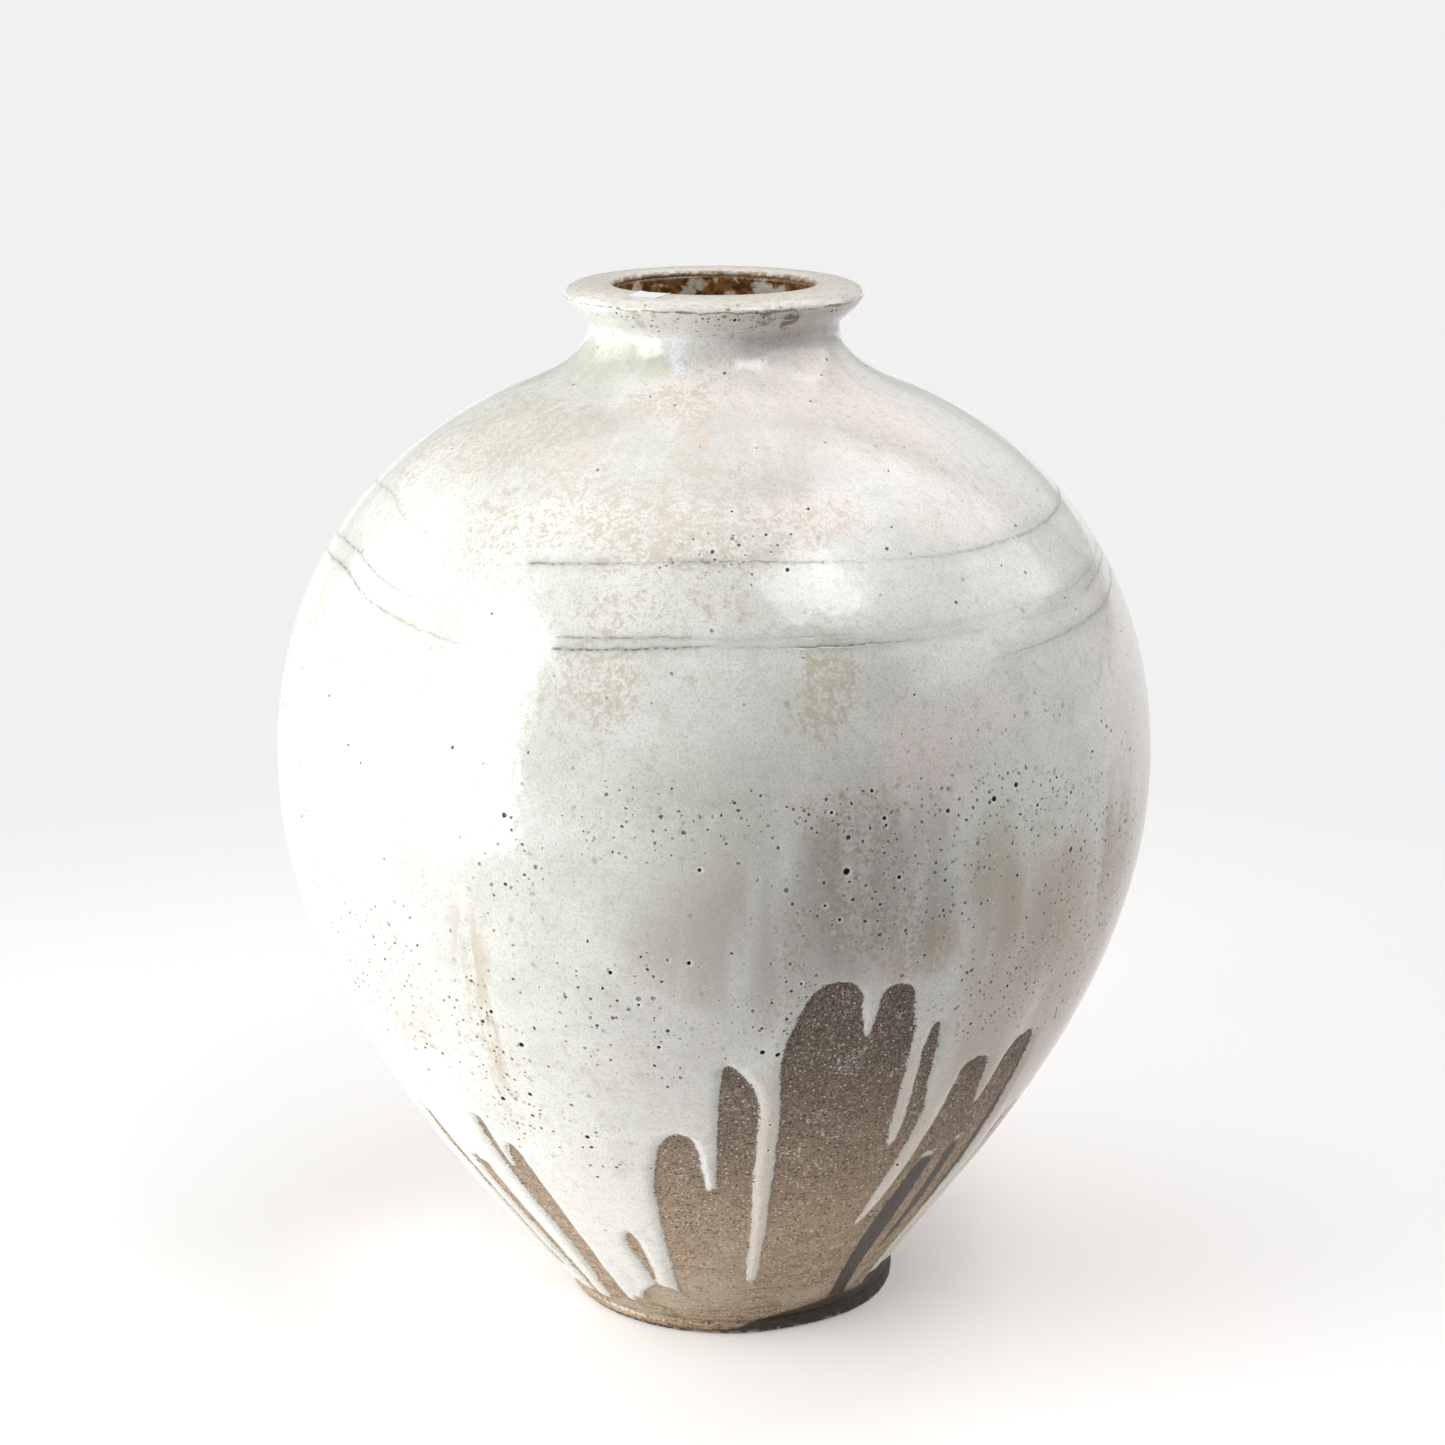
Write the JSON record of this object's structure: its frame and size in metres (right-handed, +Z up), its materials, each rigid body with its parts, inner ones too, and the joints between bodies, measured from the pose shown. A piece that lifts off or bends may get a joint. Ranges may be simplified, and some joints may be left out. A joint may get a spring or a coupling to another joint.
{
  "type": "storage jar",
  "caption": "Round-bellied stoneware jar with a narrow neck, a turned-out rim and a run white glaze over a bare clay foot; stands on its base and holds dry or wet stores.",
  "frame": {"origin": "centre of the jar's outline on the plane that it stands on, under the belly's axis", "axes": "+Z up through the mouth, -Y towards the front, +X to the right of the front"},
  "size_m": [0.336, 0.336, 0.4005],
  "materials": {
    "clay": "fired unglazed stoneware, scraped",
    "white_glaze": "glossy feldspathic glaze, pinholed and run",
    "brown_glaze": "dark iron liner glaze",
    "label_paper": "matt white paper"
  },
  "bodies": {
    "root": {"base_slab": "clay", "lower_wall": "clay", "upper_wall": "clay", "neck_and_rim": "clay", "outer_glaze": "white_glaze", "inner_glaze": "brown_glaze", "rim_label": "label_paper"}
  },
  "joints": []
}
